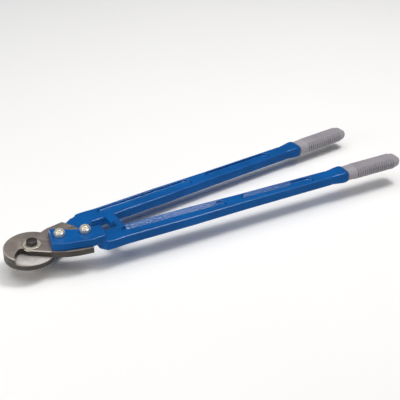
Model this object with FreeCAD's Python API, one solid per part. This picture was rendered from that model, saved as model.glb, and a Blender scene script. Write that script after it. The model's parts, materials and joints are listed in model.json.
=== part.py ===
import FreeCAD
import Part
import os
from math import atan2, cos, degrees, radians, sin, sqrt, tan

from FreeCAD import Vector

# Hooked-blade cutter with two long levers, modelled closed and lying flat.
# Working frame: pivot axis on Z through the origin, +X towards the grips, the blades' shear
# plane at z = 0. The front lever (y < 0) lies above the shear plane and the rear lever is the
# same set of parts turned over about X. Every part is moved to the stored frame on export.

# ---- driving dimensions, mm ----
BLADE_T = 8.4            # thickness of each blade
SHEAR_GAP = 0.05         # each blade's ground face stands this far off the shear plane
HEAD_R = 35.2            # round cutting head
HEAD_X = -3.5            # the head's centre, just ahead of the pivot
PLATE_TOP = 20.0         # outer face of the handle's clamping plate
PLATE_FOOT = 23.2        # where the plate's end starts along the tail, at the blade
PLATE_CREST = 26.0       # and at the plate's outer face
SHAFT_T = 14.0           # thickness of the handle's shaft
TAIL_ANGLE = -15.0       # direction of the blade's tail and the clamping plate
SHAFT_ANGLE = -3.5       # direction of the shaft
SHAFT_X0 = 130.0         # a point on the shaft's centre line
SHAFT_Y0 = -39.9
COLLAR_X0 = 318.0        # along the shaft, from that point: where the collar starts to flare
COLLAR_X1 = 341.0        # where it is widest
COLLAR_END = 346.5       # where it stops
COLLAR_CUT = 2.1         # bevel along the collar's corners
GRIP_START = 347.0
GRIP_END = 443.0
GRIP_HALF_W = 13.4
GRIP_TIP_HALF_W = 8.8
GRIP_HALF_H = 9.0
TANG_ROOT = (8.0, 4.6)   # half width and half height of the tang inside the grip
TANG_TIP = (6.5, 4.0)

# fasteners
M8_R = 4.0
M8_AF = 13.0
M8_NUT_H = 6.5
M8_CROWN = 1.7
M8_HOLE_R = 4.1
STUD_FOOT_R = 5.2        # the stud's riveted foot, flush in the blade's ground face
STUD_FOOT_H = 1.2
STUD_S = (37.2, 71.5)    # along the tail, from the pivot
STUD_N = -4.4            # across the tail
STUD_END = 1.6           # thread standing out of the lock nut
NUT_TURN = -143.0        # the way the lock nuts' corners stopped

M10_R = 5.0
M10_HEAD_AF = 14.0       # small-series hexagon head
M10_HEAD_H = 6.0
M10_NUT_AF = 16.0
M10_NUT_H = 8.0
M10_CROWN = 2.0
PIVOT_BORE_R = 5.05
WASHER_R = 11.8
WASHER_BORE_R = 5.25
WASHER_T = 1.6
PIVOT_TURN = -115.0
PIVOT_NUT_TURN = 15.0
THREAD_FIT = 0.05        # radial room between a thread's crest cylinder and its nut

# the closing stops between the handles: their section, as (x, z), where they spring from the
# shaft, and the gap left at the middle
LUG_SECTION = ((118.0, -2.5), (118.0, 7.0), (120.0, 9.0), (124.5, 9.0), (132.5, 3.0), (132.5, -2.5))
LUG_ROOT_Y = -27.4
LUG_GAP = 0.1

# pockets in both faces of the shaft, as distances along it
POCKETS = ((-15.0, 143.5), (171.5, 290.0))
POCKET_DEPTH = 3.4
POCKET_RIM = 4.2

# half width of the shaft, as (distance along it, half width)
SHAFT_WIDTHS = ((-14.0, 14.6), (85.0, 14.4), (172.0, 12.2), (COLLAR_X0, 11.0))

NUT_TOP = PLATE_TOP + M8_NUT_H + M8_CROWN
LOW_Z = -(NUT_TOP + STUD_END)


def rotated(x, y, angle):
    c = cos(radians(angle))
    s = sin(radians(angle))
    return x * c - y * s, x * s + y * c


def tail(s, n, z=0.0):
    x, y = rotated(s, n, TAIL_ANGLE)
    return Vector(x, y, z)


def shaft(t, w, z=0.0):
    x, y = rotated(t, w, SHAFT_ANGLE)
    return Vector(SHAFT_X0 + x, SHAFT_Y0 + y, z)


FRONT_X = HEAD_X - HEAD_R
BACK_X = shaft(GRIP_END, GRIP_TIP_HALF_W).x
MID_X = 0.5 * (FRONT_X + BACK_X)


def prism(points, z0, z1):
    wire = Part.makePolygon([Vector(p.x, p.y, z0) for p in points] + [Vector(points[0].x, points[0].y, z0)])
    return Part.Face(wire).extrude(Vector(0, 0, z1 - z0))


def cylinder(r, z0, z1, at=Vector(0, 0, 0)):
    return Part.makeCylinder(r, z1 - z0, Vector(at.x, at.y, z0))


def cone(r0, r1, z0, z1, at=Vector(0, 0, 0)):
    return Part.makeCone(r0, r1, z1 - z0, Vector(at.x, at.y, z0))


def hexagon(across_flats, z0, z1, at, turn):
    r = across_flats / sqrt(3.0)
    corners = []
    for k in range(6):
        a = radians(turn + 60.0 * k)
        corners.append(Vector(at.x + r * cos(a), at.y + r * sin(a), 0))
    return prism(corners, z0, z1)


def chamfered_hexagon(across_flats, z0, z1, at, turn, both_ends):
    # the corners are turned off by a 30 degree cone
    body = hexagon(across_flats, z0, z1, at, turn)
    flat_r = 0.475 * across_flats
    rise = (across_flats / sqrt(3.0) - flat_r) * tan(radians(30.0))
    wide = flat_r + (z1 - z0) / tan(radians(30.0))
    top = cone(wide, flat_r, z0, z1, at)
    body = body.common(top)
    if both_ends:
        body = body.common(cone(flat_r, wide, z0, z1, at))
    return body


def edges_at(shape, z, keep=None):
    found = []
    for edge in shape.Edges:
        flat = all(abs(v.Z - z) < 1e-4 for v in edge.Vertexes)
        if flat and abs(edge.BoundBox.ZLength) < 1e-4 and (keep is None or keep(edge)):
            found.append(edge)
    return found


def turned_over(shape):
    copy = shape.copy()
    copy.rotate(Vector(0, 0, 0), Vector(1, 0, 0), 180)
    return copy


# ---- blade ----
BEAK_TIP = Vector(-32.0, -20.3, 0)
BEAK_INNER = Vector(-27.0, -8.2, 0)
ROOT_OUTER = Vector(-21.2, -2.6, 0)
ROOT_TOP = Vector(-17.6, -0.4, 0)
NECK_R = 12.9
NECK_FROM = 192.0
NECK_TO = 233.0
NECK_BEVEL = 2.0
LIP_END = Vector(16.0, -28.0, 0)
LIP_BEVEL = 1.1
# the tail's outer side and end, as (along, across)
UPPER_TAIL = ((29.4, -26.4), (46.0, -29.6), (60.0, -30.2), (78.5, -28.4), (80.0, 5.2))
LOWER_TAIL = ((29.4, -26.4), (46.0, -28.8), (70.4, -26.5), (73.4, -20.2), (80.0, -17.5), (80.0, 5.2))

# the rear handle's nose: a tongue that laps over the rebated end of the lower blade's tail
NOSE = ((76.9, 5.2), (76.2, -5.0), (73.2, -20.9), (84.3, -25.2), (89.4, -24.9), (97.0, -26.6), (97.0, 5.2))
NOSE_T = 2.2
NOSE_ROOM = 0.2


def on_head(angle):
    return Vector(HEAD_X + HEAD_R * cos(radians(angle)), HEAD_R * sin(radians(angle)), 0)


def neck_point(angle):
    return Vector(NECK_R * cos(radians(angle)), NECK_R * sin(radians(angle)), 0)


def blade_outline(tail_end):
    neck_start = neck_point(NECK_FROM)
    neck_mid = neck_point(0.5 * (NECK_FROM + NECK_TO))
    neck_end = neck_point(NECK_TO)
    tip_angle = degrees(atan2(BEAK_TIP.y, BEAK_TIP.x - HEAD_X))
    edges = [
        Part.Arc(BEAK_TIP, BEAK_INNER, ROOT_OUTER).toShape(),
        Part.Arc(ROOT_OUTER, ROOT_TOP, neck_start).toShape(),
        Part.Arc(neck_start, neck_mid, neck_end).toShape(),
    ]
    corners = [neck_end, LIP_END] + [tail(s, n) for s, n in tail_end]
    corners += [tail(60.4, 5.4), tail(43.9, 10.6), tail(27.0, 16.9), on_head(27.0)]
    for a, b in zip(corners, corners[1:]):
        edges.append(Part.makeLine(a, b))
    edges.append(Part.Arc(on_head(27.0), on_head(115.0), on_head(tip_angle)).toShape())
    edges.append(Part.makeLine(on_head(tip_angle), BEAK_TIP))
    return edges


def blade(tail_end):
    outline = [e for e in blade_outline(tail_end) if e.Length > 1e-3]
    wire = Part.Wire(Part.__sortEdges__(outline))
    body = Part.Face(wire).extrude(Vector(0, 0, BLADE_T - SHEAR_GAP))
    body.translate(Vector(0, 0, SHEAR_GAP))
    rim = edges_at(body, BLADE_T, lambda e: e.Length > 60 and e.Curve.TypeId == "Part::GeomCircle")
    body = body.makeChamfer(1.3, rim)
    body = body.cut(neck_bevel())
    body = body.cut(lip_bevel())
    body = body.cut(cylinder(PIVOT_BORE_R, -1, BLADE_T + 1))
    for s in STUD_S:
        at = tail(s, STUD_N)
        body = body.cut(cylinder(M8_HOLE_R, -1, BLADE_T + 1, at))
        body = body.cut(cone(STUD_FOOT_R, M8_R, SHEAR_GAP, SHEAR_GAP + STUD_FOOT_H, at))
    return body


def rebate():
    # room for the nose in the shear side of the lower blade's tail
    outline = [tail(s - NOSE_ROOM, n - NOSE_ROOM) for s, n in NOSE]
    outline[0] = tail(NOSE[0][0] - NOSE_ROOM, NOSE[0][1] + 1.0)
    outline[-1] = tail(NOSE[-1][0], NOSE[-1][1] + 1.0)
    return prism(outline, -1.0, NOSE_T + NOSE_ROOM)


def neck_bevel():
    # round the pivot boss: a triangle turned about the pivot
    top = BLADE_T + 0.01
    r0 = NECK_R - NECK_BEVEL
    r1 = NECK_R + 0.01
    ring = [Vector(r0, 0, top), Vector(r1, 0, top), Vector(r1, 0, top - NECK_BEVEL), Vector(r0, 0, top)]
    band = Part.Face(Part.makePolygon(ring)).revolve(Vector(0, 0, 0), Vector(0, 0, 1), NECK_TO - NECK_FROM)
    band.rotate(Vector(0, 0, 0), Vector(0, 0, 1), NECK_FROM)
    return band


def lip_bevel():
    # along the straight cutting edge
    start = neck_point(NECK_TO)
    along = (LIP_END - start).normalize()
    side = Vector(-along.y, along.x, 0)
    top = Vector(0, 0, BLADE_T + 0.01)
    down = Vector(0, 0, -LIP_BEVEL)
    out = side * -0.01
    ring = [start + top + side * LIP_BEVEL, start + top + out, start + top + out + down]
    ring = ring + [ring[0]]
    return Part.Face(Part.makePolygon(ring)).extrude(LIP_END - start)


# ---- handle ----
def half_width(t):
    for (t0, w0), (t1, w1) in zip(SHAFT_WIDTHS, SHAFT_WIDTHS[1:]):
        if t <= t1:
            return w0 + (w1 - w0) * (t - t0) / (t1 - t0)
    return SHAFT_WIDTHS[-1][1]


def shaft_bar():
    near = [tail(95.9, 5.2), tail(95.9, -28.4)]
    outer = [shaft(-30.0, -16.2)] + [shaft(t, -w) for t, w in SHAFT_WIDTHS]
    inner = [shaft(t, w) for t, w in reversed(SHAFT_WIDTHS)] + [shaft(-34.0, 14.8)]
    bar = prism(near + outer + inner, SHEAR_GAP, SHAFT_T)
    long_edges = [e for e in edges_at(bar, SHAFT_T) + edges_at(bar, SHEAR_GAP) if is_side_edge(e)]
    return bar.makeFillet(1.8, long_edges)


def is_side_edge(edge):
    mid = edge.valueAt(0.5 * (edge.FirstParameter + edge.LastParameter))
    return edge.Length > 26.0 and mid.x > 100.0


def pocket(t0, t1, z0, z1):
    w0 = half_width(t0 + 10.0) - POCKET_RIM
    w1 = half_width(t1 - 10.0) - POCKET_RIM
    a = [shaft(t0 + w0, -w0), shaft(t0, 0), shaft(t0 + w0, w0)]
    b = [shaft(t1 - w1, w1), shaft(t1, 0), shaft(t1 - w1, -w1)]
    edges = [Part.Arc(*a).toShape(), Part.makeLine(a[2], b[0])]
    edges += [Part.Arc(*b).toShape(), Part.makeLine(b[2], a[0])]
    body = Part.Face(Part.Wire(edges)).extrude(Vector(0, 0, z1 - z0))
    body.translate(Vector(0, 0, z0))
    return body


def clamping_plate():
    outline = [tail(PLATE_FOOT, 16.9), tail(43.9, 9.9), tail(60.4, 4.7), tail(96.0, 5.4), tail(96.0, -21.0)]
    outline += [tail(78.0, -26.4), tail(40.0, -26.2), tail(31.0, -24.2), tail(PLATE_FOOT, -20.2)]
    plate = prism(outline, BLADE_T, PLATE_TOP)
    plate = plate.makeChamfer(0.6, edges_at(plate, PLATE_TOP))
    return plate.cut(end_slope())


def end_slope():
    # the plate's end leans back from its foot to its crest; the wedge runs past it at each side
    lean = (PLATE_CREST - PLATE_FOOT) / (PLATE_TOP - BLADE_T)
    past = 1.0
    low = (PLATE_FOOT - lean * past, BLADE_T - past)
    high = (PLATE_CREST + lean * past, PLATE_TOP + past)
    ring = [tail(s, -40.0, z) for s, z in (low, high, (low[0] - past, high[1]), (low[0] - past, low[1]))]
    return Part.Face(Part.makePolygon(ring + [ring[0]])).extrude(tail(0.0, 80.0))


def shoulder():
    # blends the plate's outer side down to the wider shaft
    low = [tail(84.5, 5.2), tail(84.6, -13.0), tail(87.0, -21.5), tail(96.0, -28.4), tail(96.0, 5.2)]
    high = [tail(84.5, 5.2), tail(84.6, -13.0), tail(85.0, -23.8), tail(96.0, -20.6), tail(96.0, 5.2)]
    wires = []
    for points, z in ((low, SHEAR_GAP), (high, PLATE_TOP - 0.6)):
        ring = [Vector(p.x, p.y, z) for p in points]
        wires.append(Part.makePolygon(ring + [ring[0]]))
    return Part.makeLoft(wires, True, True)


def collar():
    sections = (
        (COLLAR_X0, 11.0, 0.5 * SHAFT_T),
        (COLLAR_X1 - 6.0, 12.8, 0.5 * SHAFT_T + 1.4),
        (COLLAR_X1, 13.2, 0.5 * SHAFT_T + 1.7),
        (COLLAR_END, 12.6, 0.5 * SHAFT_T + 1.2),
    )
    wires = []
    for t, w, h in sections:
        wires.append(cross_section(t, w, h, COLLAR_CUT))
    return Part.makeLoft(wires, True, True)


def cross_section(t, w, h, cut):
    # an eight-sided section across the shaft, centred on its thickness
    zc = 0.5 * SHAFT_T
    ring = [(-w + cut, -h), (w - cut, -h), (w, -h + cut), (w, h - cut)]
    ring += [(w - cut, h), (-w + cut, h), (-w, h - cut), (-w, -h + cut)]
    points = [shaft(t, y, zc + z) for y, z in ring]
    return Part.makePolygon(points + [points[0]])


def tang():
    root = cross_section(COLLAR_END - 0.5, TANG_ROOT[0], TANG_ROOT[1], 1.0)
    tip = cross_section(GRIP_END - 16.0, TANG_TIP[0], TANG_TIP[1], 1.0)
    return Part.makeLoft([root, tip], True, True)


def stop_lug():
    ring = [Vector(x, LUG_ROOT_Y, z) for x, z in LUG_SECTION]
    section = Part.Face(Part.makePolygon(ring + [ring[0]]))
    return section.extrude(Vector(0, -LUG_GAP - LUG_ROOT_Y, 0))


def with_nose(body):
    body = body.fuse(prism([tail(s, n) for s, n in NOSE], SHEAR_GAP, NOSE_T))
    return body.cut(cylinder(M8_HOLE_R, 0, NOSE_T + 0.1, tail(STUD_S[1], STUD_N)))


def handle():
    body = shaft_bar()
    for t0, t1 in POCKETS:
        body = body.cut(pocket(t0, t1, SHAFT_T - POCKET_DEPTH, SHAFT_T + 2))
        body = body.cut(pocket(t0, t1, -2, SHEAR_GAP + POCKET_DEPTH))
    for piece in (clamping_plate(), shoulder(), collar(), tang(), stop_lug()):
        body = body.fuse(piece)
    body = body.Solids[0]
    for s in STUD_S:
        body = body.cut(cylinder(M8_HOLE_R, 0, PLATE_TOP + 1, tail(s, STUD_N)))
    return body


# ---- grip ----
def grip():
    sections = (
        (GRIP_START, 12.6, 8.3, 4.2),
        (GRIP_START + 10.0, 12.9, 8.6, 4.4),
        (GRIP_START + 14.0, GRIP_HALF_W, GRIP_HALF_H, 4.6),
        (GRIP_END - 12.0, GRIP_HALF_W, GRIP_HALF_H, 4.6),
        (GRIP_END - 11.0, 12.4, 8.2, 4.2),
        (GRIP_END - 5.0, 11.8, 7.8, 4.0),
        (GRIP_END, GRIP_TIP_HALF_W, 5.6, 2.8),
    )
    skin = Part.makeLoft([cross_section(*s) for s in sections], True, True)
    fit = 0.05
    mouth = cross_section(GRIP_START - 1.0, TANG_ROOT[0] + fit, TANG_ROOT[1] + fit, 1.0)
    bottom = cross_section(GRIP_END - 15.5, TANG_TIP[0] + fit, TANG_TIP[1] + fit, 1.0)
    return skin.cut(Part.makeLoft([mouth, bottom], True, True))


# ---- fasteners ----
def stud(at):
    z0 = SHEAR_GAP
    end = NUT_TOP + STUD_END
    foot = cone(STUD_FOOT_R, M8_R, z0, z0 + STUD_FOOT_H, at)
    shank = cylinder(M8_R, z0, end - 0.8, at)
    point = cone(M8_R, M8_R - 0.8, end - 0.8, end, at)
    return foot.fuse([shank, point]).removeSplitter()


def lock_nut(across_flats, hex_h, crown, thread_r, at, turn):
    z0 = at.z
    body = chamfered_hexagon(across_flats, z0, z0 + hex_h, at, turn, True)
    crown_r = 0.455 * across_flats
    dome = cylinder(crown_r, z0 + hex_h - 0.5, z0 + hex_h + crown, at)
    dome = dome.makeFillet(0.9, edges_at(dome, z0 + hex_h + crown))
    body = body.fuse(dome).removeSplitter()
    body = body.cut(cylinder(thread_r + THREAD_FIT, z0 - 1, z0 + hex_h + crown + 1, at))
    groove = cylinder(thread_r + 1.35, z0 + hex_h - 1.2, z0 + hex_h + crown - 0.6, at)
    return body.cut(groove)


def nylon_ring(hex_h, crown, thread_r, at):
    low = at.z + hex_h - 1.15
    high = at.z + hex_h + crown - 0.65
    ring = cylinder(thread_r + 1.3, low, high, at)
    return ring.cut(cylinder(thread_r + THREAD_FIT, low - 1, high + 1, at))


def pivot_bolt():
    head_z = BLADE_T + WASHER_T
    head = chamfered_hexagon(M10_HEAD_AF, head_z, head_z + M10_HEAD_H, Vector(0, 0, 0), PIVOT_TURN, False)
    end = -(BLADE_T + WASHER_T + M10_NUT_H + M10_CROWN + 1.5)
    shank = cylinder(M10_R, end + 1.0, head_z + 1.0)
    point = cone(M10_R - 1.0, M10_R, end, end + 1.0)
    return head.fuse([shank, point]).removeSplitter()


def washer(z0):
    ring = cylinder(WASHER_R, z0, z0 + WASHER_T).cut(cylinder(WASHER_BORE_R, z0 - 1, z0 + WASHER_T + 1))
    outer = [e for e in ring.Edges if abs(e.BoundBox.XLength - 2 * WASHER_R) < 0.01]
    return ring.makeFillet(0.35, [e for e in outer if abs(e.BoundBox.ZLength) < 1e-4])


# ---- the set of parts ----
def build():
    nodes = {"front_handle": handle(), "front_grip": grip()}
    for name, s in zip(("inner", "outer"), STUD_S):
        at = tail(s, STUD_N, PLATE_TOP)
        nodes["front_" + name + "_stud"] = stud(at)
        nodes["front_" + name + "_lock_nut"] = lock_nut(M8_AF, M8_NUT_H, M8_CROWN, M8_R, at, NUT_TURN)
        nodes["front_" + name + "_nut_insert"] = nylon_ring(M8_NUT_H, M8_CROWN, M8_R, at)
    for name in list(nodes):
        nodes[name.replace("front_", "rear_")] = turned_over(nodes[name])
    nodes["rear_handle"] = turned_over(with_nose(nodes["front_handle"]))
    nodes["upper_blade"] = blade(UPPER_TAIL)
    nodes["lower_blade"] = turned_over(blade(LOWER_TAIL).cut(rebate()))
    nodes["pivot_bolt"] = pivot_bolt()
    nodes["pivot_top_washer"] = washer(BLADE_T)
    nodes["pivot_bottom_washer"] = washer(-BLADE_T - WASHER_T)
    at = Vector(0, 0, BLADE_T + WASHER_T)
    pivot_nut = lock_nut(M10_NUT_AF, M10_NUT_H, M10_CROWN, M10_R, at, PIVOT_NUT_TURN)
    nodes["pivot_lock_nut"] = turned_over(pivot_nut)
    nodes["pivot_nut_insert"] = turned_over(nylon_ring(M10_NUT_H, M10_CROWN, M10_R, at))
    return nodes


os.makedirs("parts", exist_ok=True)
for name, shape in build().items():
    placed = shape.copy()
    placed.translate(Vector(-MID_X, 0, -LOW_Z))
    box = placed.BoundBox
    state = "ok" if placed.isValid() and len(placed.Solids) == 1 else "CHECK"
    size = [round(length, 2) for length in (box.XLength, box.YLength, box.ZLength)]
    print(name, state, "volume", round(placed.Volume), "size", size)
    placed.exportStep("parts/" + name + ".step")
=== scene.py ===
import json
from math import atan2, hypot, pi, radians

import bpy
from mathutils import Matrix, Vector


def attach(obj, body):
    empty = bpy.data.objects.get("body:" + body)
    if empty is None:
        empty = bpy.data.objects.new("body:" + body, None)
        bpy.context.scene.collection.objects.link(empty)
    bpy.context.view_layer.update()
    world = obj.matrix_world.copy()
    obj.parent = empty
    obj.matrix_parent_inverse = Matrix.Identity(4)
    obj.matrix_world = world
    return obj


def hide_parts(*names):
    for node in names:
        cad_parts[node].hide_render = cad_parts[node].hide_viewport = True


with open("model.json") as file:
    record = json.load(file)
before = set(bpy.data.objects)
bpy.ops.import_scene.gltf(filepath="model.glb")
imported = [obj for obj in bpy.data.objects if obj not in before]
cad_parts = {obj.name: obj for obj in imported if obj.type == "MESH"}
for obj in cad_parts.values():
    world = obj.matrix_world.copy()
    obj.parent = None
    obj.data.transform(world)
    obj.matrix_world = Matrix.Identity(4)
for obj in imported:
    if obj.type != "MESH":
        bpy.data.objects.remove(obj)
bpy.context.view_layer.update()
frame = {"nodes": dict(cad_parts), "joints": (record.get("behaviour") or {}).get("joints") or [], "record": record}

MM = 0.001
PIVOT = Vector(frame["joints"][0]["pos_m"])
SHEAR_Z = PIVOT.z
SHAFT_LEAN = radians(-3.5)          # the front shaft's direction in plan; the rear one mirrors it
REST = Vector(frame["record"]["mounts"][0]["pos_m"])    # the middle of the rear grip's lower flat


# ---- material helpers ----
def linear(hex_colour):
    """An sRGB hex colour as linear RGBA."""
    channels = [int(hex_colour[i:i + 2], 16) / 255 for i in (1, 3, 5)]
    return [c / 12.92 if c <= 0.04045 else ((c + 0.055) / 1.055) ** 2.4 for c in channels] + [1.0]


def per_m(size_mm):
    """Texture scale that makes one feature this many millimetres long."""
    return 1000.0 / size_mm


def node(tree, kind, inputs=None, **settings):
    """Adds a shader node, with its settings, and its inputs set or linked."""
    made = tree.nodes.new("ShaderNode" + kind)
    for name, value in settings.items():
        setattr(made, name, value)
    for name, value in (inputs or {}).items():
        if isinstance(value, bpy.types.NodeSocket):
            tree.links.new(value, made.inputs[name])
        else:
            made.inputs[name].default_value = value
    return made


def new_material(name):
    """An empty node material, its tree, and the object's own coordinates."""
    material = bpy.data.materials.new(name)
    material.use_nodes = True
    tree = material.node_tree
    tree.nodes.clear()
    place = node(tree, "TexCoord").outputs["Object"]
    return material, tree, place


def upright(tree):
    """0 on vertical walls, 1 on level faces, whichever way up."""
    facing = node(tree, "SeparateXYZ", {"Vector": node(tree, "TexCoord").outputs["Normal"]}).outputs["Z"]
    return node(tree, "Math", {0: facing}, operation="ABSOLUTE").outputs[0]


# ---- materials ----
def gloss_enamel():
    """Stoved enamel over a hot-forged bar: deep and glossy on the level faces, duller down the sides."""
    material, tree, place = new_material("gloss_blue_enamel_on_forged_steel")
    shade = node(tree, "TexNoise", {"Vector": place, "Scale": per_m(38), "Detail": 3.0})
    colour = node(tree, "ValToRGB", {"Fac": shade.outputs["Fac"]})
    colour.color_ramp.elements[0].position = 0.35
    colour.color_ramp.elements[0].color = linear("#085295")
    colour.color_ramp.elements[1].position = 0.68
    colour.color_ramp.elements[1].color = linear("#085CA6")
    lumps = node(tree, "TexNoise", {"Vector": place, "Scale": per_m(7), "Detail": 2.0})
    peel = node(tree, "TexNoise", {"Vector": place, "Scale": per_m(1.6), "Detail": 1.0})
    rough = node(tree, "MapRange", {"Value": lumps.outputs["Fac"], "To Min": 0.12, "To Max": 0.22})
    forged = node(tree, "Bump", {"Height": lumps.outputs["Fac"], "Strength": 0.4, "Distance": 0.6 * MM})
    skin = node(tree, "Bump", {"Height": peel.outputs["Fac"], "Strength": 0.12, "Distance": 0.15 * MM,
                               "Normal": forged.outputs["Normal"]})
    gloss = node(tree, "MapRange", {"Value": upright(tree), "From Min": 0.12, "From Max": 0.45,
                                    "To Min": 0.08, "To Max": 0.5})
    shader = node(tree, "BsdfPrincipled", {
        "Base Color": colour.outputs["Color"], "Roughness": rough.outputs["Result"], "IOR": 1.5,
        "Specular IOR Level": gloss.outputs["Result"], "Normal": skin.outputs["Normal"]})
    node(tree, "OutputMaterial", {"Surface": shader.outputs["BSDF"]})
    return material


def shear_face(tree, place):
    """1 on the faces that lie in the shear plane, 0 elsewhere."""
    height = node(tree, "SeparateXYZ", {"Vector": place}).outputs["Z"]
    gap = node(tree, "Math", {0: height, 1: SHEAR_Z, 2: 0.12 * MM}, operation="COMPARE")
    return gap.outputs[0]


def forge_scale(tree, place, dark, light):
    """Mottled colour of steel that was quenched and oiled."""
    cloud = node(tree, "TexNoise", {"Vector": place, "Scale": per_m(14), "Detail": 5.0, "Roughness": 0.6})
    colour = node(tree, "ValToRGB", {"Fac": cloud.outputs["Fac"]})
    colour.color_ramp.elements[0].position = 0.32
    colour.color_ramp.elements[0].color = linear(dark)
    colour.color_ramp.elements[1].position = 0.7
    colour.color_ramp.elements[1].color = linear(light)
    return colour.outputs["Color"]


def oiled_tool_steel():
    """Quenched tool steel: linished flats, sides painted dark as painted shade, sloping faces painted pale as a
    painted highlight, a ground mouth.
    """
    material, tree, place = new_material("quenched_tool_steel_with_ground_shear_face")
    level = upright(tree)
    flat = node(tree, "MapRange", {"Value": level, "From Min": 0.25, "From Max": 0.6}).outputs["Result"]
    # Painted shade: the sides take darker copies of the mottled scale colours than the level faces.
    colour = node(tree, "MixRGB", {"Fac": flat, "Color1": forge_scale(tree, place, "#332D2A", "#453E39"),
                                   "Color2": forge_scale(tree, place, "#8A807A", "#A0968F")})
    # Painted highlight: faces sloping between level and upright are painted a pale #C4BBB5.
    slant = node(tree, "MapRange", {"Value": level, "From Min": 0.97, "From Max": 0.85}).outputs["Result"]
    slope_highlight = node(tree, "Math", {0: flat, 1: slant}, operation="MULTIPLY")
    colour = node(tree, "MixRGB", {"Fac": slope_highlight.outputs[0], "Color1": colour.outputs["Color"],
                                   "Color2": linear("#C4BBB5")})
    reach = node(tree, "VectorMath", {0: place, 1: PIVOT}, operation="DISTANCE").outputs["Value"]
    head = node(tree, "MapRange", {"Value": reach, "From Min": 36 * MM, "From Max": 33 * MM})
    ground = node(tree, "Math", {0: shear_face(tree, place), 1: head.outputs["Result"]}, operation="MULTIPLY")
    lines = node(tree, "Mapping", {"Vector": place, "Rotation": (0, 0, radians(28)), "Scale": (0.04, 1, 1)})
    grind = node(tree, "TexNoise", {"Vector": lines.outputs["Vector"], "Scale": per_m(0.5), "Detail": 3.0})
    bright = node(tree, "ValToRGB", {"Fac": grind.outputs["Fac"]})
    bright.color_ramp.elements[0].position = 0.3
    bright.color_ramp.elements[0].color = linear("#B8B2AD")
    bright.color_ramp.elements[1].position = 0.75
    bright.color_ramp.elements[1].color = linear("#E2DEDB")
    colour = node(tree, "MixRGB", {"Fac": ground.outputs[0], "Color1": colour.outputs["Color"],
                                   "Color2": bright.outputs["Color"]})
    grit = node(tree, "TexNoise", {"Vector": place, "Scale": per_m(0.9), "Detail": 3.0})
    rough = node(tree, "MapRange", {"Value": grit.outputs["Fac"], "To Min": 0.36, "To Max": 0.52})
    relief = node(tree, "Mix", {"Factor": ground.outputs[0], "A": grit.outputs["Fac"],
                                "B": grind.outputs["Fac"]})
    bump = node(tree, "Bump", {"Height": relief.outputs["Result"], "Strength": 0.25, "Distance": 0.1 * MM})
    metal = node(tree, "MapRange", {"Value": flat, "To Min": 0.15, "To Max": 0.5})
    shader = node(tree, "BsdfPrincipled", {
        "Base Color": colour.outputs["Color"], "Metallic": metal.outputs["Result"],
        "Roughness": rough.outputs["Result"], "Normal": bump.outputs["Normal"]})
    node(tree, "OutputMaterial", {"Surface": shader.outputs["BSDF"]})
    return material


def moulded_grip():
    """Filled polypropylene, moulded in a lightly eroded tool: a dry, even satin."""
    material, tree, place = new_material("moulded_grey_polypropylene")
    cloud = node(tree, "TexNoise", {"Vector": place, "Scale": per_m(22), "Detail": 3.0})
    colour = node(tree, "ValToRGB", {"Fac": cloud.outputs["Fac"]})
    colour.color_ramp.elements[0].position = 0.3
    colour.color_ramp.elements[0].color = linear("#96929A")
    colour.color_ramp.elements[1].position = 0.7
    colour.color_ramp.elements[1].color = linear("#A19DA4")
    spark = node(tree, "TexNoise", {"Vector": place, "Scale": per_m(0.6), "Detail": 2.0})
    rough = node(tree, "MapRange", {"Value": cloud.outputs["Fac"], "To Min": 0.46, "To Max": 0.6})
    bump = node(tree, "Bump", {"Height": spark.outputs["Fac"], "Strength": 0.3, "Distance": 0.06 * MM})
    shader = node(tree, "BsdfPrincipled", {
        "Base Color": colour.outputs["Color"], "Roughness": rough.outputs["Result"], "IOR": 1.49,
        "Normal": bump.outputs["Normal"]})
    node(tree, "OutputMaterial", {"Surface": shader.outputs["BSDF"]})
    return material


def black_oxide():
    """Heat-treated fastener steel with a black oxide finish: nearly black, with a soft oily sheen."""
    material, tree, place = new_material("black_oxide_fastener_steel")
    cloud = node(tree, "TexNoise", {"Vector": place, "Scale": per_m(3), "Detail": 4.0})
    colour = node(tree, "ValToRGB", {"Fac": cloud.outputs["Fac"]})
    colour.color_ramp.elements[0].color = linear("#2A2624")
    colour.color_ramp.elements[1].color = linear("#4E4A47")
    rough = node(tree, "MapRange", {"Value": cloud.outputs["Fac"], "To Min": 0.3, "To Max": 0.48})
    bump = node(tree, "Bump", {"Height": cloud.outputs["Fac"], "Strength": 0.2, "Distance": 0.1 * MM})
    shader = node(tree, "BsdfPrincipled", {
        "Base Color": colour.outputs["Color"], "Metallic": 0.4, "Roughness": rough.outputs["Result"],
        "Normal": bump.outputs["Normal"]})
    node(tree, "OutputMaterial", {"Surface": shader.outputs["BSDF"]})
    return material


def bright_zinc():
    """Bright zinc plate with a faintly yellow passivate; the studs' feet are dressed off with the blade."""
    material, tree, place = new_material("bright_zinc_plated_steel")
    cloud = node(tree, "TexNoise", {"Vector": place, "Scale": per_m(2.5), "Detail": 3.0})
    colour = node(tree, "ValToRGB", {"Fac": cloud.outputs["Fac"]})
    colour.color_ramp.elements[0].color = linear("#D8CFBC")
    colour.color_ramp.elements[1].color = linear("#F4EFE4")
    colour = node(tree, "MixRGB", {"Fac": shear_face(tree, place), "Color1": colour.outputs["Color"],
                                   "Color2": forge_scale(tree, place, "#8A807A", "#A0968F")})
    rough = node(tree, "MapRange", {"Value": cloud.outputs["Fac"], "To Min": 0.24, "To Max": 0.34})
    bump = node(tree, "Bump", {"Height": cloud.outputs["Fac"], "Strength": 0.15, "Distance": 0.08 * MM})
    shader = node(tree, "BsdfPrincipled", {
        "Base Color": colour.outputs["Color"], "Metallic": 0.55, "Roughness": rough.outputs["Result"],
        "Normal": bump.outputs["Normal"]})
    node(tree, "OutputMaterial", {"Surface": shader.outputs["BSDF"]})
    return material


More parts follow.
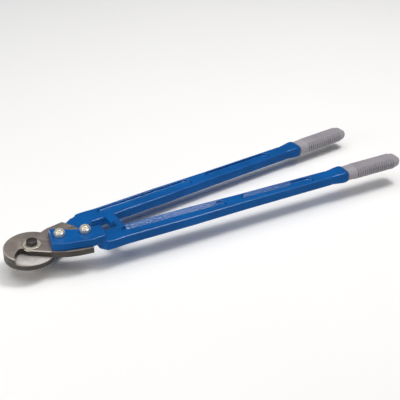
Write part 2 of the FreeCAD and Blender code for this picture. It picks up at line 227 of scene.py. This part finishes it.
def nylon():
    """Natural nylon locking ring: milky, waxy, and a little see-through."""
    material, tree, place = new_material("natural_nylon")
    cloud = node(tree, "TexNoise", {"Vector": place, "Scale": per_m(1.5), "Detail": 2.0})
    colour = node(tree, "ValToRGB", {"Fac": cloud.outputs["Fac"]})
    colour.color_ramp.elements[0].color = linear("#C4C1B4")
    colour.color_ramp.elements[1].color = linear("#D9D6CA")
    shader = node(tree, "BsdfPrincipled", {
        "Base Color": colour.outputs["Color"], "Roughness": 0.4, "IOR": 1.53})
    node(tree, "OutputMaterial", {"Surface": shader.outputs["BSDF"]})
    return material


def backdrop_paper():
    """Matt white background paper."""
    material, tree, place = new_material("matt_white_paper")
    cloud = node(tree, "TexNoise", {"Vector": place, "Scale": per_m(300), "Detail": 2.0})
    colour = node(tree, "ValToRGB", {"Fac": cloud.outputs["Fac"]})
    colour.color_ramp.elements[0].color = linear("#F7F7F7")
    colour.color_ramp.elements[1].color = linear("#FAFAFA")
    shader = node(tree, "BsdfPrincipled", {
        "Base Color": colour.outputs["Color"], "Roughness": 0.9, "Specular IOR Level": 0.2})
    node(tree, "OutputMaterial", {"Surface": shader.outputs["BSDF"]})
    return material


FINISHES = {
    "blade_steel": oiled_tool_steel(),
    "blue_paint": gloss_enamel(),
    "grey_grip": moulded_grip(),
    "black_steel": black_oxide(),
    "bright_zinc": bright_zinc(),
    "nylon": nylon(),
}
for part in frame["record"]["subparts"]:
    mesh = frame["nodes"][part["node"]].data
    mesh.materials.clear()
    mesh.materials.append(FINISHES[part["material_slot"]])


# ---- modelling helpers ----
def pick_only(obj):
    bpy.ops.object.select_all(action="DESELECT")
    obj.select_set(True)
    bpy.context.view_layer.objects.active = obj


def finish_piece(obj, body, slot_name, *stands_for):
    """Gives it its finish, hangs it on its body, and hides the CAD nodes that it stands for."""
    obj.data.materials.clear()
    obj.data.materials.append(FINISHES[slot_name])
    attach(obj, body)
    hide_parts(*stands_for)


def copy_of(cad_node, name):
    """A CAD node's mesh as a new object, its loose triangles merged into one skin."""
    source = frame["nodes"][cad_node]
    piece = bpy.data.objects.new(name, source.data.copy())
    bpy.context.scene.collection.objects.link(piece)
    pick_only(piece)
    bpy.ops.object.mode_set(mode="EDIT")
    bpy.ops.mesh.select_all(action="SELECT")
    bpy.ops.mesh.remove_doubles(threshold=0.002 * MM)
    bpy.ops.mesh.customdata_custom_splitnormals_clear()
    bpy.ops.object.mode_set(mode="OBJECT")
    return piece


def apply_modifier(piece, kind, **settings):
    pick_only(piece)
    bpy.ops.object.modifier_add(type=kind)
    made = piece.modifiers[-1]
    for name, value in settings.items():
        setattr(made, name, value)
    bpy.ops.object.modifier_apply(modifier=made.name)


def eased(cad_node, width):
    """A machined piece: its flat faces made whole and its sharp edges broken."""
    piece = copy_of(cad_node, cad_node + "_eased")
    bpy.ops.object.mode_set(mode="EDIT")
    bpy.ops.mesh.select_all(action="SELECT")
    bpy.ops.mesh.dissolve_limited(angle_limit=radians(0.5))
    bpy.ops.object.mode_set(mode="OBJECT")
    apply_modifier(piece, "BEVEL", width=width, segments=2, angle_limit=radians(30))
    bpy.ops.object.shade_smooth_by_angle(angle=radians(35))
    return piece


def forged(cad_node, grain, rounds):
    """A forged piece: its whole skin is remade and every corner softened, as by a worn die."""
    piece = copy_of(cad_node, cad_node + "_forged")
    apply_modifier(piece, "REMESH", mode="VOXEL", voxel_size=grain)
    apply_modifier(piece, "SMOOTH", factor=0.5, iterations=rounds)
    bpy.ops.object.shade_smooth()
    return piece


def turned_over_copy(obj, name):
    """The same part for the other lever: turned half round about the tool's length."""
    twin = obj.copy()
    twin.data = obj.data.copy()
    twin.name = name
    bpy.context.scene.collection.objects.link(twin)
    half_turn = Matrix.Rotation(pi, 4, "X")
    twin.data.transform(Matrix.Translation(PIVOT) @ half_turn @ Matrix.Translation(-PIVOT))
    return twin


# ---- grips ----
GRIP_LENGTH = 96 * MM
GRIP_HALF_W = 13.4 * MM
GRIP_HALF_H = 9.0 * MM
GRIP_CORNER = 0.34               # cut off each long corner, as a share of the half width
RIB_PITCH = 4.0 * MM
RIB_COUNT = 17
RIB_FROM = 16 * MM
RIB_DEPTH = 2.0 * MM             # on the narrow sides
RIB_FLAT_SHARE = 0.35            # of that depth, on the wide flats


def grip_stations():
    """(distance from the collar, half width, half height) down the socket, then out over the ribs."""
    stations = [(80 * MM, 6.6 * MM, 4.1 * MM), (0.0, 8.1 * MM, 4.7 * MM)]
    stations += [(0.0, 12.0 * MM, 7.7 * MM), (0.8 * MM, 12.6 * MM, 8.2 * MM), (13 * MM, 12.9 * MM, 8.5 * MM)]
    stations += [(14.2 * MM, GRIP_HALF_W, GRIP_HALF_H), (RIB_FROM, GRIP_HALF_W, GRIP_HALF_H)]
    low_w = GRIP_HALF_W - RIB_DEPTH
    low_h = GRIP_HALF_H - RIB_FLAT_SHARE * RIB_DEPTH
    for k in range(RIB_COUNT):
        x = RIB_FROM + k * RIB_PITCH
        stations += [(x + 0.4 * MM, low_w, low_h), (x + 1.7 * MM, low_w, low_h)]
        stations += [(x + 2.1 * MM, GRIP_HALF_W, GRIP_HALF_H), (x + RIB_PITCH, GRIP_HALF_W, GRIP_HALF_H)]
    stations += [(GRIP_LENGTH - 10.3 * MM, 12.3 * MM, 8.1 * MM), (GRIP_LENGTH - 5 * MM, 11.8 * MM, 7.8 * MM)]
    stations += [(GRIP_LENGTH, 8.8 * MM, 5.6 * MM)]
    return stations


def ribbed_grip(name):
    """A cut-cornered section pulled along the grip, swelling and narrowing at each rib."""
    stations = grip_stations()
    bpy.ops.object.select_all(action="DESELECT")
    bpy.ops.mesh.primitive_plane_add(size=2.0)
    grip = bpy.context.object
    grip.name = name
    bpy.ops.object.mode_set(mode="EDIT")
    bpy.ops.transform.rotate(value=pi / 2, orient_axis="Y", center_override=(0, 0, 0))
    x, w, h = stations[0]
    bpy.ops.transform.resize(value=(1, w, h), center_override=(0, 0, 0))
    bpy.ops.mesh.bevel(affect="VERTICES", offset=GRIP_CORNER * w, segments=1)
    bpy.ops.transform.translate(value=(x, 0, 0))
    for x_next, w_next, h_next in stations[1:]:
        bpy.ops.mesh.extrude_region_move(TRANSFORM_OT_translate={"value": (x_next - x, 0, 0)})
        bpy.ops.transform.resize(value=(1, w_next / w, h_next / h), center_override=(x_next, 0, 0))
        x, w, h = x_next, w_next, h_next
    bpy.ops.mesh.select_all(action="SELECT")
    bpy.ops.mesh.normals_make_consistent(inside=False)
    bpy.ops.object.mode_set(mode="OBJECT")
    apply_modifier(grip, "BEVEL", width=0.3 * MM, segments=2, angle_limit=radians(25))
    bpy.ops.object.shade_smooth_by_angle(angle=radians(40))
    return grip


def place_on_front_shaft(obj, start):
    """Moves a part, built along X, on to the front shaft; start is measured from the grip's middle."""
    middle = Vector((REST.x, 2 * PIVOT.y - REST.y, 2 * PIVOT.z - REST.z - GRIP_HALF_H))
    turn = Matrix.Rotation(SHAFT_LEAN, 4, "Z")
    obj.data.transform(Matrix.Translation(middle) @ turn @ Matrix.Translation((start, 0, 0)))


front_grip = ribbed_grip("front_ribbed_grip")
place_on_front_shaft(front_grip, -GRIP_LENGTH / 2)
rear_grip = turned_over_copy(front_grip, "rear_ribbed_grip")
finish_piece(front_grip, "front_lever", "grey_grip", "front_grip")
finish_piece(rear_grip, "rear_lever", "grey_grip", "rear_grip")


# ---- the rough slope down the inner side of two pockets in each handle ----
POCKET_FLOOR = 3.6 * MM          # above the middle of the shaft's thickness
POCKET_BRIM = 7.0 * MM
CAST_SINK = 0.2 * MM             # the slope stops this far below the brim
CAST_CELL = 0.5 * MM             # mesh cell along the slope, fine enough to carry its grain
CAST_BANDS = (                   # start from the grip's middle, length, side at each end, width
    (-402 * MM, 140 * MM, 10.2 * MM, 9.1 * MM, 6.0 * MM),
    (-219 * MM, 80 * MM, 7.8 * MM, 7.3 * MM, 4.5 * MM),
)


def cast_band(start, length, side_from, side_to, width):
    """A sloping strip, left rough, from just below the pocket's brim to its floor."""
    rise = POCKET_BRIM - POCKET_FLOOR - CAST_SINK
    bpy.ops.object.select_all(action="DESELECT")
    bpy.ops.mesh.primitive_grid_add(x_subdivisions=int(length / CAST_CELL), y_subdivisions=14, size=1.0)
    band = bpy.context.object
    band.name = "cast_band"
    bpy.ops.object.mode_set(mode="EDIT")
    bpy.ops.transform.resize(value=(length, hypot(width, rise), 1), center_override=(0, 0, 0))
    bpy.ops.object.mode_set(mode="OBJECT")
    grain = bpy.data.textures.new("cast_grain", "CLOUDS")
    grain.noise_scale = 1.1 * MM
    grain.noise_depth = 1
    apply_modifier(band, "DISPLACE", texture=grain, strength=1.5 * MM, mid_level=0.5)
    apply_modifier(band, "SOLIDIFY", thickness=0.5 * MM, offset=-1.0)
    tilt = Matrix.Rotation(atan2(rise, width), 4, "X")
    taper = Matrix.Rotation(atan2(side_to - side_from, length), 4, "Z")
    middle = (0, 0.5 * (side_from + side_to - width), POCKET_FLOOR + 0.5 * rise)
    band.data.transform(Matrix.Translation(middle) @ taper @ tilt)
    place_on_front_shaft(band, start + length / 2)
    band.data.materials.append(FINISHES["blue_paint"])
    bpy.ops.object.shade_smooth()
    return band


def join_to(piece, others):
    pick_only(piece)
    for other in others:
        other.select_set(True)
    bpy.ops.object.join()


FRONT_BANDS = [cast_band(*sizes) for sizes in CAST_BANDS]
REAR_BANDS = [turned_over_copy(band, "cast_band_rear") for band in FRONT_BANDS]


# ---- the handles as forgings, the other steel pieces with their edges broken ----
SLOTS = {part["node"]: part["material_slot"] for part in frame["record"]["subparts"]}
FORGED_GRAIN = 0.8 * MM
FORGED_ROUNDS = 5                # of smoothing
EDGE_BREAK = {"blade_steel": 0.5 * MM, "black_steel": 0.3 * MM, "bright_zinc": 0.25 * MM}

for lever, members in frame["record"]["behaviour"]["bodies"].items():
    for cad_node in members:
        slot_name = SLOTS[cad_node]
        if cad_node.endswith("_handle"):
            bar = forged(cad_node, FORGED_GRAIN, FORGED_ROUNDS)
            join_to(bar, FRONT_BANDS if cad_node.startswith("front") else REAR_BANDS)
            finish_piece(bar, lever, slot_name, cad_node)
        elif slot_name in EDGE_BREAK:
            finish_piece(eased(cad_node, EDGE_BREAK[slot_name]), lever, slot_name, cad_node)


# ---- stage, light and camera ----
def floor():
    bpy.ops.object.select_all(action="DESELECT")
    bpy.ops.mesh.primitive_plane_add(size=12.0, location=(0, 0, -0.05 * MM))
    sheet = bpy.context.object
    sheet.name = "floor"
    sheet.data.materials.append(backdrop_paper())


def softbox(name, place, target, width, height, watts, colour):
    light = bpy.data.lights.new(name, "AREA")
    light.shape = "RECTANGLE"
    light.size = width
    light.size_y = height
    light.energy = watts
    light.color = linear(colour)[:3]
    holder = bpy.data.objects.new(name, light)
    bpy.context.scene.collection.objects.link(holder)
    holder.location = place
    holder.rotation_euler = (Vector(target) - Vector(place)).to_track_quat("-Z", "Y").to_euler()


def surroundings():
    world = bpy.data.worlds.new("soft_room")
    world.use_nodes = True
    world.node_tree.nodes["Background"].inputs["Color"].default_value = linear("#C8CCD2")
    world.node_tree.nodes["Background"].inputs["Strength"].default_value = 0.12
    bpy.context.scene.world = world


def camera():
    eye = bpy.data.cameras.new("camera")
    eye.lens = 85.7
    eye.sensor_width = 36.0
    holder = bpy.data.objects.new("camera", eye)
    bpy.context.scene.collection.objects.link(holder)
    holder.location = PIVOT + Vector((-0.3454, -1.0132, 0.7238))
    holder.rotation_euler = (radians(58.357), 0, radians(-30.876))
    bpy.context.scene.camera = holder


floor()
surroundings()
softbox("overhead", (-0.1, 0.1, 2.6), (0, 0.2, 0), 3.4, 3.4, 55.0, "#FFFFFF")
softbox("key", (0.6, -0.12, 1.8), (0, 0, 0), 0.5, 0.5, 15.0, "#FFFCF8")
softbox("left_fill", (-1.6, -0.1, 0.5), (-0.2, 0, 0), 1.0, 0.7, 9.0, "#FFFDF8")
camera()
bpy.context.scene.view_settings.view_transform = "Standard"
